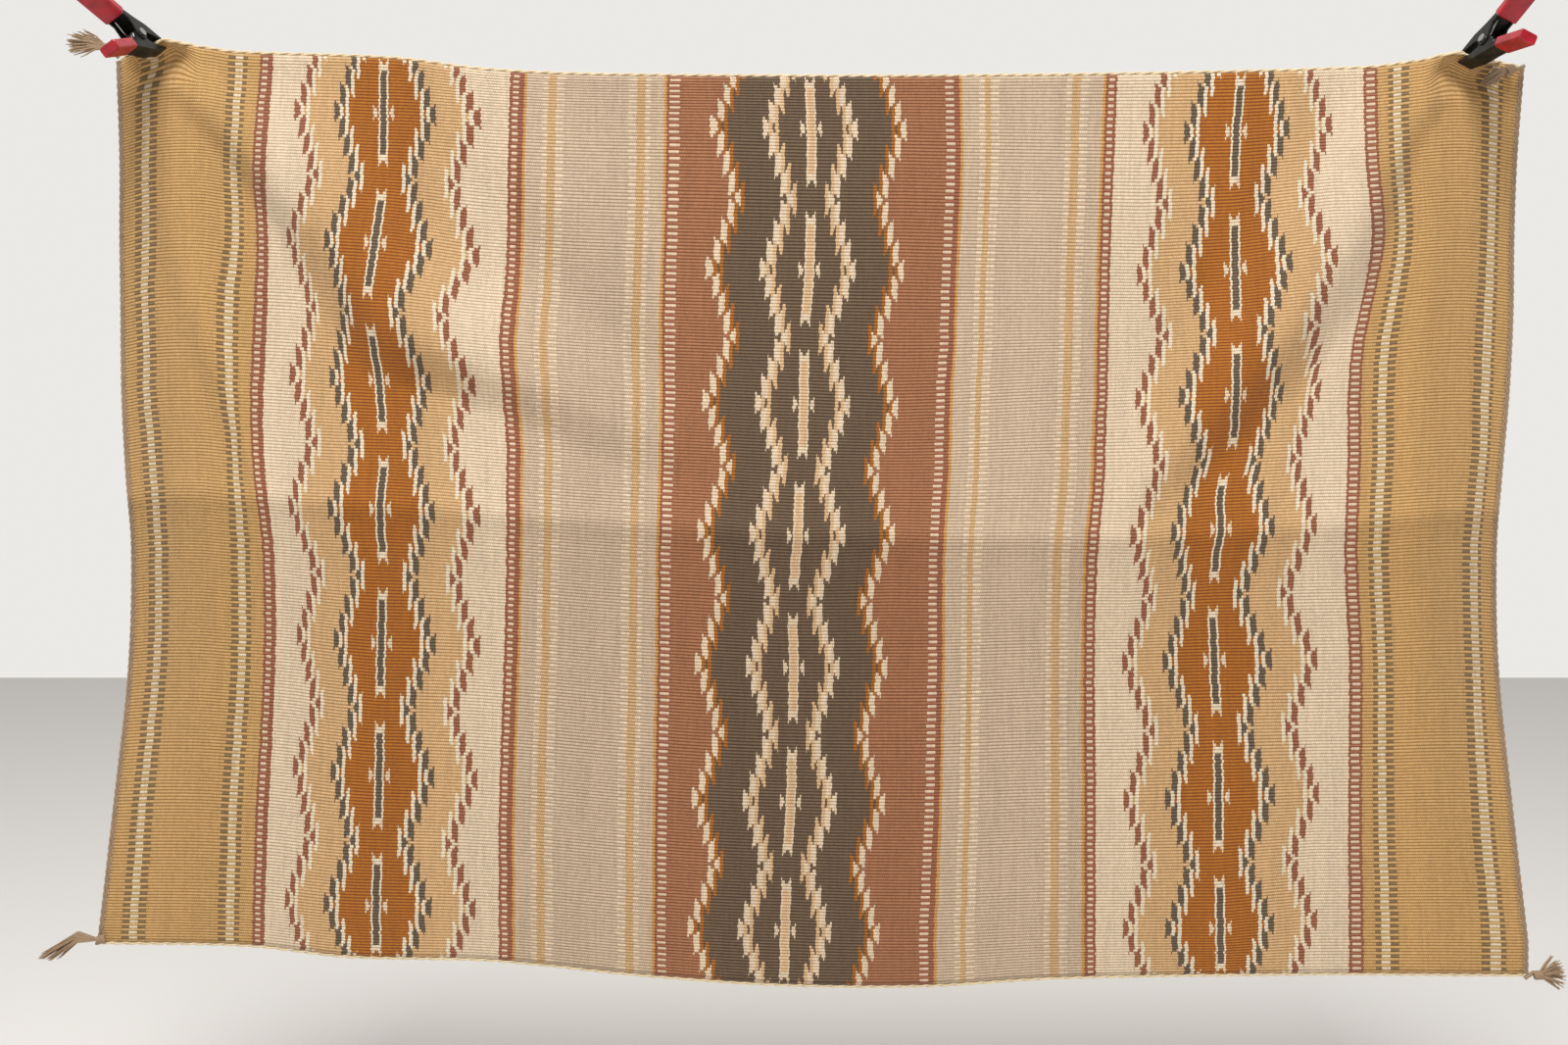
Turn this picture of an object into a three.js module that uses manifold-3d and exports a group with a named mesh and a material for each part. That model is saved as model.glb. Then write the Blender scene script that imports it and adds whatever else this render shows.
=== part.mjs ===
// A handwoven wool rug of the banded kind, hung sideways by two spring clamps at its top corners.
// The rug is one thin sheet with the folds that run down from the clamps and a storage crease at half
// its height. Two cream cords close its long edges, two taupe twined cords close its short ends, and
// the ends of the cords are knotted into a tassel at each corner.
// Millimetres. +X runs along the rug to the right, the rug's front faces -Y, and +Z is up.
// The origin is the middle of the line between the two places where the clamps grip.
import * as THREE from "three";
import { mergeVertices } from "three/addons/utils/BufferGeometryUtils.js";
import Module from "manifold-3d";

const wasm = await Module();
wasm.setup();

// The rug as it was woven: 287 warps of 3.2 mm make its width.
const LENGTH = 1456;
const WARP_PITCH = 3.2;
const WARPS = 287;
const WIDTH = WARP_PITCH * WARPS;
const THICKNESS = 2.5;

// The distance that touching pieces keep, and the cords' sizes.
const GAP = 0.3;
const EDGE_CORD_RADIUS = 2.0;
const END_CORD_RADIUS = 2.8;
const CORD_SIDES = 8;
const CORD_GAP = 0.94;

// Outlines and folds are given as they are seen from in front, level with this point of the rug and from
// this distance. A place that stands out is drawn in towards that point.
const EYE = { x: -30, z: -481, distance: 1555 };

// The top and bottom edges, which sag between the clamps and where the cloth was woven wider.
const TOP_EDGE = [
  { x: -706, z: -9.5 },
  { x: -672, z: 0.5 },
  { x: -627, z: 2.5 },
  { x: -590, z: -2.5 },
  { x: -430, z: -8.5 },
  { x: -330, z: -20.5 },
  { x: -200, z: -25.5 },
  { x: 170, z: -26.5 },
  { x: 558, z: -18.5 },
  { x: 634, z: -9.5 },
  { x: 670, z: -8.5 },
  { x: 720, z: -17.5 },
];
const BOTTOM_EDGE = [
  { x: -728, z: -908 },
  { x: -575, z: -911 },
  { x: -475, z: -922 },
  { x: -330, z: -926 },
  { x: -165, z: -942 },
  { x: -30, z: -951 },
  { x: 110, z: -952 },
  { x: 250, z: -944 },
  { x: 510, z: -940 },
  { x: 725, z: -941 },
];

// How far the short ends stand to the right of where the bottom edge begins and ends, at ten heights.
const FIRST_COURSE = -728;
const END_DRIFT = [
  { z: -18, left: 22, right: -8 },
  { z: -108, left: 25, right: -15 },
  { z: -188, left: 25, right: -18 },
  { z: -268, left: 26, right: -19 },
  { z: -348, left: 27, right: -23 },
  { z: -428, left: 31, right: -30 },
  { z: -508, left: 37, right: -36 },
  { z: -628, left: 34, right: -34 },
  { z: -768, left: 19, right: -20 },
  { z: -908, left: 3, right: -4 },
];

// The storage crease runs near the middle warp. The cloth stands out there and falls back on both sides.
const CREASE_LINE = [
  { u: 0, v: 458 },
  { u: 400, v: 458 },
  { u: 700, v: 463 },
  { u: 1040, v: 472 },
  { u: 1250, v: 464 },
  { u: 1456, v: 452 },
];
const CREASE = { out: 40, above: 150, below: 130, rest: 12, radius: 7 };
const TOP_STAYS_BACK = { reach: 120, share: 0.9 };

// The folds: the crest of each, from the clamp outwards, with how far it stands out and how wide it is
// on the side that faces up and on the side that faces down.
const LEFT_FOLD = [
  { x: -680, z: -10, out: 0, up: 24, down: 14 },
  { x: -607, z: -72, out: 13, up: 46, down: 26 },
  { x: -512, z: -172, out: 23, up: 100, down: 50 },
  { x: -437, z: -270, out: 27, up: 122, down: 56 },
  { x: -377, z: -302, out: 25, up: 122, down: 50 },
  { x: -290, z: -335, out: 19, up: 110, down: 50 },
  { x: -190, z: -380, out: 9, up: 90, down: 46 },
  { x: -90, z: -410, out: 0, up: 80, down: 40 },
];
const RIGHT_FOLD = [
  { x: 300, z: -462, out: 0, up: 80, down: 40 },
  { x: 330, z: -440, out: 8, up: 88, down: 42 },
  { x: 395, z: -378, out: 20, up: 100, down: 46 },
  { x: 455, z: -313, out: 25, up: 110, down: 50 },
  { x: 510, z: -248, out: 25, up: 110, down: 50 },
  { x: 560, z: -173, out: 21, up: 90, down: 46 },
  { x: 610, z: -78, out: 11, up: 46, down: 26 },
  { x: 670, z: -12, out: 0, up: 24, down: 14 },
];
const LOW_LEFT_FOLD = [
  { x: -690, z: -80, out: 0, up: 30, down: 20 },
  { x: -650, z: -210, out: 5, up: 36, down: 20 },
  { x: -620, z: -300, out: 8, up: 42, down: 22 },
  { x: -590, z: -370, out: 8, up: 42, down: 22 },
  { x: -560, z: -440, out: 0, up: 40, down: 20 },
];
const MIDDLE_FOLD = [
  { x: -420, z: -40, out: 0, up: 60, down: 50 },
  { x: -330, z: -90, out: 6, up: 90, down: 60 },
  { x: -240, z: -170, out: 8, up: 110, down: 66 },
  { x: -160, z: -260, out: 6, up: 100, down: 60 },
  { x: -90, z: -340, out: 0, up: 80, down: 50 },
];
const FOLDS = [LEFT_FOLD, RIGHT_FOLD, LOW_LEFT_FOLD, MIDDLE_FOLD];

// Both short ends curl back, most at half the height.
const END_CURL_REACH = 115;
const END_CURL = [
  { z: -10, left: 0, right: 0 },
  { z: -150, left: 16, right: 22 },
  { z: -300, left: 34, right: 32 },
  { z: -480, left: 46, right: 42 },
  { z: -620, left: 44, right: 44 },
  { z: -770, left: 22, right: 22 },
  { z: -910, left: 3, right: 3 },
];

// The clamps. Each grips a short strip of the top edge that it bends forward, so its handles point to
// the front. toHandles and toFront are directions, and grip is where the jaws' tip is seen.
const CLAMPS = [
  {
    name: "left", u: 40, grip: { x: -667, z: 1 }, out: 3.4,
    toHandles: [-0.304, -0.952, 0.04], toFront: [0.457, -0.17, -0.901],
  },
  {
    name: "right", u: 1399, grip: { x: 664, z: -13 }, out: 3.4,
    toHandles: [0.333, -0.889, 0.32], toFront: [-0.273, -0.362, -0.891],
  },
];
const GRIP_DEPTH = 9;
const BENT_STRIP = { halfWidth: 12, depth: 12, sideReach: 34, downReach: 30 };

// One clamp, in its own frame: X from the jaws' tip to the handles, Z from the back lever to the front
// lever, Y across. The levers are pressed steel channels, the back one wide enough to take the front one.
const STEEL = 1.6;
const PIVOT_AT = 36;
const PIN_RADIUS = 2.6;
const PIN_HOLE_RADIUS = 3;
const PIN_HEAD = { radius: 4.2, thickness: 1.6 };
const FRONT_LEVER_WIDTH = 16;
const BACK_LEVER_WIDTH = FRONT_LEVER_WIDTH + 2 * (STEEL + GAP);
const LEVER_BACK = [
  { x: 0, z: 1.9 },
  { x: 9, z: 5.8 },
  { x: 23, z: 12.6 },
  { x: 40, z: 16 },
  { x: 52, z: 19.5 },
  { x: 82, z: 34 },
];
const FLANGE_DEPTH = 6;
const FLANGE_FRONT = [
  { x: 3, z: 3.9 },
  { x: 16, z: 4.6 },
  { x: 26.5, z: 4 },
];
const FLANGE_BEHIND_LOBE = 5;
const LOBE_RADIUS = 6.5;
const SPRING = { wire: 1, turns: 4, pitch: 2.5, stepsPerTurn: 8, legAt: 49 };
const GRIP_SLEEVE = {
  length: 36, wall: 1.2, corner: 2.5, endWall: 3.5, endGap: 1.2, bevel: 0.9, bevelLength: 1.1,
};

// The tassels, from the corner of the cloth: where the cord ends leave it, the knot and the frayed tip,
// each as right, up and out to the front. The knot of a tassel with no start lies right on the corner.
const TASSEL_SIDES = 4;
const TASSEL_STEPS = 3;
const TASSELS = [
  {
    name: "tassel_bottom_left", u: 0, v: WIDTH, knot: [0.6, 3.4, 6.6], tip: [-64, -16, 4],
    knotRadius: 5.4, rise: 9, spread: 15, depth: 9, strands: 9, strandRadius: 1.7,
  },
  {
    name: "tassel_bottom_right", u: LENGTH, v: WIDTH, start: [1.4, -4.6, 0], knot: [14, -1, 2], tip: [41, 0, 2],
    knotRadius: 6, neckRadius: 3, rise: 1, spread: 33, depth: 16, strands: 11, strandRadius: 1.9,
  },
  {
    name: "tassel_top_left", u: 0, v: 0, start: [-2.3, 2.5, 0], knot: [-13, 12, 2], tip: [-54, 18, 4],
    knotRadius: 5.4, neckRadius: 2.8, rise: 2, spread: 26, depth: 14, strands: 11, strandRadius: 1.9,
  },
  {
    name: "tassel_top_right", u: LENGTH, v: 0, start: [1.6, 0, 6.3], knot: [-14, -5, 8], tip: [-45, -21, 11],
    knotRadius: 7, neckRadius: 4.5, rise: 3, spread: 11, depth: 9, strands: 7, strandRadius: 2.3,
  },
];

// A smooth curve through the rows of a table, read at one column.
function follow(rows, key, column, at) {
  const last = rows.length - 1;
  const rising = rows[last][key] > rows[0][key];
  const ordered = (a, b) => (rising ? a <= b : a >= b);
  if (ordered(at, rows[0][key])) return rows[0][column];
  if (ordered(rows[last][key], at)) return rows[last][column];
  let i = 0;
  while (i < last - 1 && !ordered(at, rows[i + 1][key])) i += 1;
  const slope = (j) => {
    const a = rows[Math.max(j - 1, 0)];
    const b = rows[Math.min(j + 1, last)];
    return (b[column] - a[column]) / (b[key] - a[key]);
  };
  const span = rows[i + 1][key] - rows[i][key];
  const t = (at - rows[i][key]) / span;
  const h = 1 - t;
  return (
    rows[i][column] * h * h * (1 + 2 * t) +
    slope(i) * span * t * h * h +
    rows[i + 1][column] * t * t * (3 - 2 * t) -
    slope(i + 1) * span * t * t * h
  );
}

// 1 at zero and below, 0 at one and above, and smooth between.
function fade(t) {
  const c = Math.min(Math.max(t, 0), 1);
  return 1 - c * c * (3 - 2 * c);
}

// Where a course of weft is seen, at a seen height.
function courseX(u, z) {
  const t = u / LENGTH;
  const drift = follow(END_DRIFT, "z", "left", z) * (1 - t) + follow(END_DRIFT, "z", "right", z) * t;
  return FIRST_COURSE + u + drift;
}

// One fold's height at a place: a rounded crest, gentle on its upper side and steep on its lower side.
function foldOut(rows, x, z) {
  const crest = follow(rows, "x", "z", x);
  const out = follow(rows, "x", "out", x);
  if (out <= 0) return 0;
  const step = 4;
  const slope = (follow(rows, "x", "z", x + step) - follow(rows, "x", "z", x - step)) / (2 * step);
  const across = (z - crest) / Math.sqrt(1 + slope * slope);
  const reach = across > 0 ? follow(rows, "x", "up", x) : follow(rows, "x", "down", x);
  return out * fade(Math.abs(across) / reach);
}

// How far the cloth stands out to the front.
function clothOut(u, v, x, z) {
  const crease = v - follow(CREASE_LINE, "u", "v", u);
  const away = Math.sqrt(crease * crease + CREASE.radius * CREASE.radius) - CREASE.radius;
  const above = CREASE.out * Math.exp(-away / CREASE.above);
  const below = CREASE.rest + (CREASE.out - CREASE.rest) * Math.exp(-away / CREASE.below);
  const held = TOP_STAYS_BACK.share * fade(v / TOP_STAYS_BACK.reach);
  let out = crease < 0 ? above * (1 - held) : below;
  for (const rows of FOLDS) out += foldOut(rows, x, z);
  out -= follow(END_CURL, "z", "left", z) * fade(u / END_CURL_REACH);
  out -= follow(END_CURL, "z", "right", z) * fade((LENGTH - u) / END_CURL_REACH);
  return out;
}

// A place that is seen at x, z and stands out by so much.
function seen(x, z, out) {
  const near = 1 - out / EYE.distance;
  return new THREE.Vector3(EYE.x + (x - EYE.x) * near, -out, EYE.z + (z - EYE.z) * near);
}

// The three directions of a clamp, square to one another.
function clampFrame(clamp) {
  const along = new THREE.Vector3(...clamp.toHandles).normalize();
  const front = new THREE.Vector3(...clamp.toFront);
  front.addScaledVector(along, -front.dot(along)).normalize();
  const across = new THREE.Vector3().crossVectors(front, along);
  const tip = seen(clamp.grip.x, clamp.grip.z, clamp.out);
  return { along, front, across, tip };
}

const CLAMP_FRAMES = Object.fromEntries(CLAMPS.map((clamp) => [clamp.name, clampFrame(clamp)]));

// The middle of the cloth's thickness at u along the rug and v down from its top edge.
function clothMiddle(u, v) {
  let z = 0;
  let x = FIRST_COURSE + u;
  for (let pass = 0; pass < 3; pass += 1) {
    const top = follow(TOP_EDGE, "x", "z", x);
    const bottom = follow(BOTTOM_EDGE, "x", "z", x);
    z = top + ((bottom - top) * v) / WIDTH;
    x = courseX(u, z);
  }
  const place = seen(x, z, clothOut(u, v, x, z));
  for (const clamp of CLAMPS) {
    const side = Math.abs(u - clamp.u) - BENT_STRIP.halfWidth;
    const weight = fade(side / BENT_STRIP.sideReach) * fade((v - BENT_STRIP.depth) / BENT_STRIP.downReach);
    if (weight === 0) continue;
    const frame = CLAMP_FRAMES[clamp.name];
    const aside = clamp.u - u;
    const gripped = Math.min(Math.max(aside, -BENT_STRIP.halfWidth), BENT_STRIP.halfWidth);
    const strip = frame.tip.clone();
    strip.addScaledVector(frame.across, gripped);
    strip.x -= aside - gripped;
    strip.addScaledVector(frame.along, GRIP_DEPTH - v);
    place.lerp(strip, weight);
  }
  return place;
}

// The cloth's own directions at a place: along it, down it, and out of its front face.
function clothDirections(u, v) {
  const step = 1.5;
  const right = clothMiddle(Math.min(u + step, LENGTH), v);
  const left = clothMiddle(Math.max(u - step, 0), v);
  const lower = clothMiddle(u, Math.min(v + step, WIDTH));
  const upper = clothMiddle(u, Math.max(v - step, 0));
  const along = right.sub(left).normalize();
  const down = lower.sub(upper).normalize();
  const out = new THREE.Vector3().crossVectors(down, along).normalize();
  return { along, down, out };
}

// Rows and columns of the sheet, closer together at the clamps and at the crease.
const PLAIN_COLUMNS = 30;
const CLAMP_COLUMNS = [12, 19, 28, 38, 50];
const CLOSEST_COLUMNS = 4;
const TOP_ROWS = [0, 6, 12, 18, 25, 34, 45];
const CREASE_ROWS = [-40, -18, -6, 0, 6, 18];
const PLAIN_ROWS = { from: 60, above: 8, below: 9, fromCrease: 40 };

function columnPlaces() {
  const places = new Set();
  for (let i = 0; i <= PLAIN_COLUMNS; i += 1) places.add((LENGTH * i) / PLAIN_COLUMNS);
  for (const clamp of CLAMPS) {
    for (const reach of CLAMP_COLUMNS) {
      places.add(clamp.u - reach);
      places.add(clamp.u + reach);
    }
  }
  const sorted = [...places].filter((place) => place >= 0 && place <= LENGTH).sort((a, b) => a - b);
  return sorted.filter((place, i) => i === 0 || place - sorted[i - 1] > CLOSEST_COLUMNS);
}

function rowPlace(row, u) {
  const crease = follow(CREASE_LINE, "u", "v", u);
  if (row.of === "top") return row.at;
  if (row.of === "crease") return crease + row.at;
  const from = row.of === "above" ? PLAIN_ROWS.from : crease + PLAIN_ROWS.fromCrease;
  const to = row.of === "above" ? crease - PLAIN_ROWS.fromCrease : WIDTH;
  return from + (to - from) * row.at;
}

function rowList() {
  const { above, below } = PLAIN_ROWS;
  const rows = TOP_ROWS.map((at) => ({ of: "top", at }));
  for (let i = 0; i < above; i += 1) rows.push({ of: "above", at: i / above });
  rows.push(...CREASE_ROWS.map((at) => ({ of: "crease", at })));
  for (let i = 0; i <= below; i += 1) rows.push({ of: "below", at: i / below });
  return rows;
}

const COLUMNS = columnPlaces();
const ROWS = rowList();

// A steel or wool finish.
function finish(color, roughness, metalness = 0) {
  return new THREE.MeshStandardMaterial({ color, roughness, metalness });
}

const RUG_WOOL = finish("#c9aa78", 0.95);
const CREAM_WOOL = finish("#e3d3b0", 0.95);
const TAUPE_WOOL = finish("#8b7765", 0.95);
const BLACK_STEEL = finish("#2c2c2a", 0.45, 0.6);
const BRIGHT_STEEL = finish("#a8a8a4", 0.3, 1);
const RED_VINYL = finish("#a5121c", 0.4);

const group = new THREE.Group();

function addPiece(name, geometry, material, parent = group) {
  const mesh = new THREE.Mesh(geometry, material);
  mesh.name = name;
  parent.add(mesh);
  return mesh;
}

// Moves every point of a geometry, and gives it new normals.
function reshape(geometry, move) {
  const points = geometry.attributes.position;
  const place = new THREE.Vector3();
  for (let i = 0; i < points.count; i += 1) {
    place.fromBufferAttribute(points, i);
    const moved = move(place);
    points.setXYZ(i, moved.x, moved.y, moved.z);
  }
  geometry.computeVertexNormals();
  return geometry;
}

// The sheet: a flat box with one column and row for each place, laid onto the hanging cloth.
function sheet() {
  const across = COLUMNS.length - 1;
  const down = ROWS.length - 1;
  const box = new THREE.BoxGeometry(across, 2, down, across, 1, down);
  return reshape(box, (point) => {
    const u = COLUMNS[Math.round(point.x + across / 2)];
    const v = rowPlace(ROWS[Math.round(down / 2 - point.z)], u);
    const half = (-Math.sign(point.y) * THICKNESS) / 2;
    return clothMiddle(u, v).addScaledVector(clothDirections(u, v).out, half);
  });
}

// A cord laid along places, each of its rings in the plane of two of the cloth's directions there.
function cord(places, radius) {
  const steps = places.length - 1;
  const rod = new THREE.CylinderGeometry(radius, radius, steps, CORD_SIDES, steps);
  return reshape(rod, (point) => {
    const { middle, first, second } = places[Math.round(point.y + steps / 2)];
    return middle.clone().addScaledVector(first, point.x).addScaledVector(second, point.z);
  });
}

// The cream cord of a long edge, just outside the cloth.
function edgeCord(v) {
  const outward = v === 0 ? -1 : 1;
  const places = COLUMNS.map((u) => {
    const { down, out } = clothDirections(u, v);
    const middle = clothMiddle(u, v).addScaledVector(down, outward * (EDGE_CORD_RADIUS + CORD_GAP));
    return { middle, first: down, second: out };
  });
  return cord(places, EDGE_CORD_RADIUS);
}

// The taupe twined cord of a short end.
function endCord(u) {
  const outward = u === 0 ? -1 : 1;
  const places = ROWS.map((row) => {
    const v = rowPlace(row, u);
    const { along, out } = clothDirections(u, v);
    const middle = clothMiddle(u, v).addScaledVector(along, outward * (END_CORD_RADIUS + CORD_GAP));
    return { middle, first: out.clone().negate(), second: along };
  });
  return cord(places.reverse(), END_CORD_RADIUS);
}

addPiece("rug_sheet", sheet(), RUG_WOOL);
addPiece("edge_cord_top", edgeCord(0), CREAM_WOOL);
addPiece("edge_cord_bottom", edgeCord(WIDTH), CREAM_WOOL);
addPiece("end_cord_left", endCord(0), TAUPE_WOOL);
addPiece("end_cord_right", endCord(LENGTH), TAUPE_WOOL);

// Solids for joining and cutting, from a closed geometry and back again.
function solid(geometry) {
  const bare = geometry.index ? geometry.toNonIndexed() : geometry.clone();
  bare.deleteAttribute("normal");
  bare.deleteAttribute("uv");
  const merged = mergeVertices(bare, 1e-4);
  return new wasm.Manifold(
    new wasm.Mesh({
      numProp: 3,
      vertProperties: new Float32Array(merged.attributes.position.array),
      triVerts: new Uint32Array(merged.index.array),
    }),
  );
}

function geometryOf(body) {
  const mesh = body.getMesh();
  const geometry = new THREE.BufferGeometry();
  geometry.setAttribute("position", new THREE.BufferAttribute(mesh.vertProperties, 3));
  geometry.setIndex(new THREE.BufferAttribute(mesh.triVerts, 1));
  geometry.computeVertexNormals();
  return geometry;
}

// A round or four-sided strand, tapered, along a curve.
function strand(curve, rootRadius, tipRadius, sides) {
  const rod = new THREE.CylinderGeometry(tipRadius, rootRadius, 1, sides, TASSEL_STEPS);
  const side = new THREE.Vector3();
  const over = new THREE.Vector3();
  return reshape(rod, (point) => {
    const t = point.y + 0.5;
    const direction = curve.getTangent(t);
    side.set(direction.z, 0, -direction.x).normalize();
    over.crossVectors(side, direction);
    return curve.getPoint(t).addScaledVector(side, point.x).addScaledVector(over, point.z);
  });
}

// A tassel: the cord ends run from the corner into a knot and fray into strands beyond it.
function tassel(spec) {
  const corner = clothMiddle(spec.u, spec.v);
  const place = ([right, up, out]) => new THREE.Vector3(right, -out, up).add(corner);
  const knot = place(spec.knot);
  const tip = place(spec.tip);
  const reach = tip.clone().sub(knot);
  const side = new THREE.Vector3(-reach.z, 0, reach.x).normalize();
  const knotBall = new THREE.SphereGeometry(spec.knotRadius, 10, 7);
  knotBall.scale(1, 0.85, 0.9);
  knotBall.translate(knot.x, knot.y, knot.z);
  let body = solid(knotBall);
  if (spec.start) {
    const neck = new THREE.LineCurve3(place(spec.start), knot);
    body = body.add(solid(strand(neck, spec.neckRadius, spec.neckRadius, TASSEL_SIDES + 2)));
  }
  for (let i = 0; i < spec.strands; i += 1) {
    const fan = (2 * i) / (spec.strands - 1) - 1;
    const layer = (i % 3) - 1;
    const shorter = 1 - 0.22 * fan * fan - 0.06 * (i % 2);
    const end = knot.clone().addScaledVector(reach, shorter);
    end.addScaledVector(side, (fan * spec.spread) / 2);
    end.y += (layer * spec.depth) / 2;
    const middle = knot.clone().lerp(end, 0.5);
    middle.z += spec.rise * (1 - 0.4 * Math.abs(fan));
    const curve = new THREE.QuadraticBezierCurve3(knot, middle, end);
    body = body.add(solid(strand(curve, spec.strandRadius, spec.strandRadius * 0.5, TASSEL_SIDES)));
  }
  return geometryOf(body);
}

for (const spec of TASSELS) addPiece(spec.name, tassel(spec), TAUPE_WOOL);

// The lever's back plate and its two flanges, drawn from the side.
const handleStart = LEVER_BACK[LEVER_BACK.length - 2];
const handleEnd = LEVER_BACK[LEVER_BACK.length - 1];
const HANDLE_ANGLE = Math.atan2(handleEnd.z - handleStart.z, handleEnd.x - handleStart.x);

function plateOutline() {
  const plate = new THREE.Shape();
  const rise = STEEL / Math.cos(HANDLE_ANGLE);
  LEVER_BACK.forEach((p, i) => (i === 0 ? plate.moveTo(p.x, p.z) : plate.lineTo(p.x, p.z)));
  for (const p of [...LEVER_BACK].reverse()) plate.lineTo(p.x, p.z + rise);
  return plate;
}

function flangeOutline() {
  const flange = new THREE.Shape();
  const drop = FLANGE_DEPTH / Math.cos(HANDLE_ANGLE);
  FLANGE_FRONT.forEach((p, i) => (i === 0 ? flange.moveTo(p.x, p.z) : flange.lineTo(p.x, p.z)));
  flange.absarc(PIVOT_AT, 0, LOBE_RADIUS, Math.PI, 2 * Math.PI, false);
  flange.lineTo(PIVOT_AT + LOBE_RADIUS + FLANGE_BEHIND_LOBE, handleStart.z - drop);
  flange.lineTo(handleEnd.x, handleEnd.z - drop);
  for (const p of [...LEVER_BACK].reverse().slice(0, -1)) flange.lineTo(p.x, p.z + STEEL * 0.5);
  return flange;
}

function sideways(shape, thickness, middle) {
  const plate = new THREE.ExtrudeGeometry(shape, { depth: thickness, bevelEnabled: false, curveSegments: 8 });
  plate.rotateX(Math.PI / 2);
  plate.translate(0, middle + thickness / 2, 0);
  return solid(plate);
}

function lever(width) {
  const flangeAt = (width - STEEL) / 2;
  const hole = new THREE.CylinderGeometry(PIN_HOLE_RADIUS, PIN_HOLE_RADIUS, 2 * width, 12);
  hole.translate(PIVOT_AT, 0, 0);
  return sideways(plateOutline(), width, 0)
    .add(sideways(flangeOutline(), STEEL, flangeAt))
    .add(sideways(flangeOutline(), STEEL, -flangeAt))
    .subtract(solid(hole));
}

// The pin, with a head at each side.
function pin() {
  const shaft = BACK_LEVER_WIDTH / 2 + GAP;
  const end = shaft + PIN_HEAD.thickness;
  const profile = [
    [0, -end],
    [PIN_HEAD.radius, -end],
    [PIN_HEAD.radius, -shaft],
    [PIN_RADIUS, -shaft],
    [PIN_RADIUS, shaft],
    [PIN_HEAD.radius, shaft],
    [PIN_HEAD.radius, end],
    [0, end],
  ].map(([r, y]) => new THREE.Vector2(r, y));
  const body = new THREE.LatheGeometry(profile, 12);
  body.translate(PIVOT_AT, 0, 0);
  return body;
}

// The spring: turns of wire round the pin, and a leg along the inside of each handle.
function spring() {
  const coil = PIN_RADIUS + 3 * GAP + SPRING.wire;
  const half = (SPRING.turns * SPRING.pitch) / 2;
  const plateThere = handleStart.z + (SPRING.legAt - handleStart.x) * Math.tan(HANDLE_ANGLE);
  const legHeight = plateThere - SPRING.wire - 3 * GAP;
  const steps = SPRING.turns * SPRING.stepsPerTurn;
  const leaving = 0.3 * Math.PI;
  const sweep = 2 * Math.PI * (SPRING.turns - 1) + 2 * (Math.PI - leaving);
  const points = [new THREE.Vector3(SPRING.legAt, -half, legHeight)];
  for (let i = 0; i <= steps; i += 1) {
    const angle = leaving + (sweep * i) / steps;
    const y = -half + (2 * half * i) / steps;
    points.push(new THREE.Vector3(PIVOT_AT + coil * Math.cos(angle), y, coil * Math.sin(angle)));
  }
  points.push(new THREE.Vector3(SPRING.legAt, half, -legHeight));
  const smooth = new THREE.CatmullRomCurve3(points, false, "centripetal");
  const wire = new THREE.Shape();
  wire.absarc(0, 0, SPRING.wire, 0, 2 * Math.PI, false);
  return new THREE.ExtrudeGeometry(wire, {
    steps: steps + 10,
    curveSegments: 3,
    bevelEnabled: false,
    extrudePath: smooth,
  });
}

// The vinyl sleeve on a handle: a rounded box with a pocket for the lever.
function sleeve(width) {
  const { length, wall, corner, endWall, endGap, bevel, bevelLength } = GRIP_SLEEVE;
  const inside = { x: width + 2 * GAP, z: FLANGE_DEPTH + STEEL + 2 * GAP };
  const half = { x: inside.x / 2 + wall, z: inside.z / 2 + wall };
  const outline = new THREE.Shape();
  outline.moveTo(-half.x + corner, -half.z);
  outline.absarc(half.x - corner, -half.z + corner, corner, -Math.PI / 2, 0, false);
  outline.absarc(half.x - corner, half.z - corner, corner, 0, Math.PI / 2, false);
  outline.absarc(-half.x + corner, half.z - corner, corner, Math.PI / 2, Math.PI, false);
  outline.absarc(-half.x + corner, -half.z + corner, corner, Math.PI, 1.5 * Math.PI, false);
  const outer = new THREE.ExtrudeGeometry(outline, {
    depth: length, curveSegments: 3, bevelEnabled: true, bevelThickness: bevelLength, bevelSize: bevel,
    bevelOffset: -bevel, bevelSegments: 1,
  });
  const pocket = new THREE.BoxGeometry(inside.x, inside.z, length);
  pocket.translate(0, 0, length / 2 - endWall);
  const body = geometryOf(solid(outer).subtract(solid(pocket)));
  body.rotateZ(Math.PI / 2);
  body.rotateY(Math.PI / 2 - HANDLE_ANGLE);
  const middleDrop = (FLANGE_DEPTH - STEEL) / 2;
  const covered = length - endWall - endGap;
  const x = handleEnd.x - covered * Math.cos(HANDLE_ANGLE) + middleDrop * Math.sin(HANDLE_ANGLE);
  const z = handleEnd.z - covered * Math.sin(HANDLE_ANGLE) - middleDrop * Math.cos(HANDLE_ANGLE);
  body.translate(x, 0, z);
  return body;
}

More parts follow.
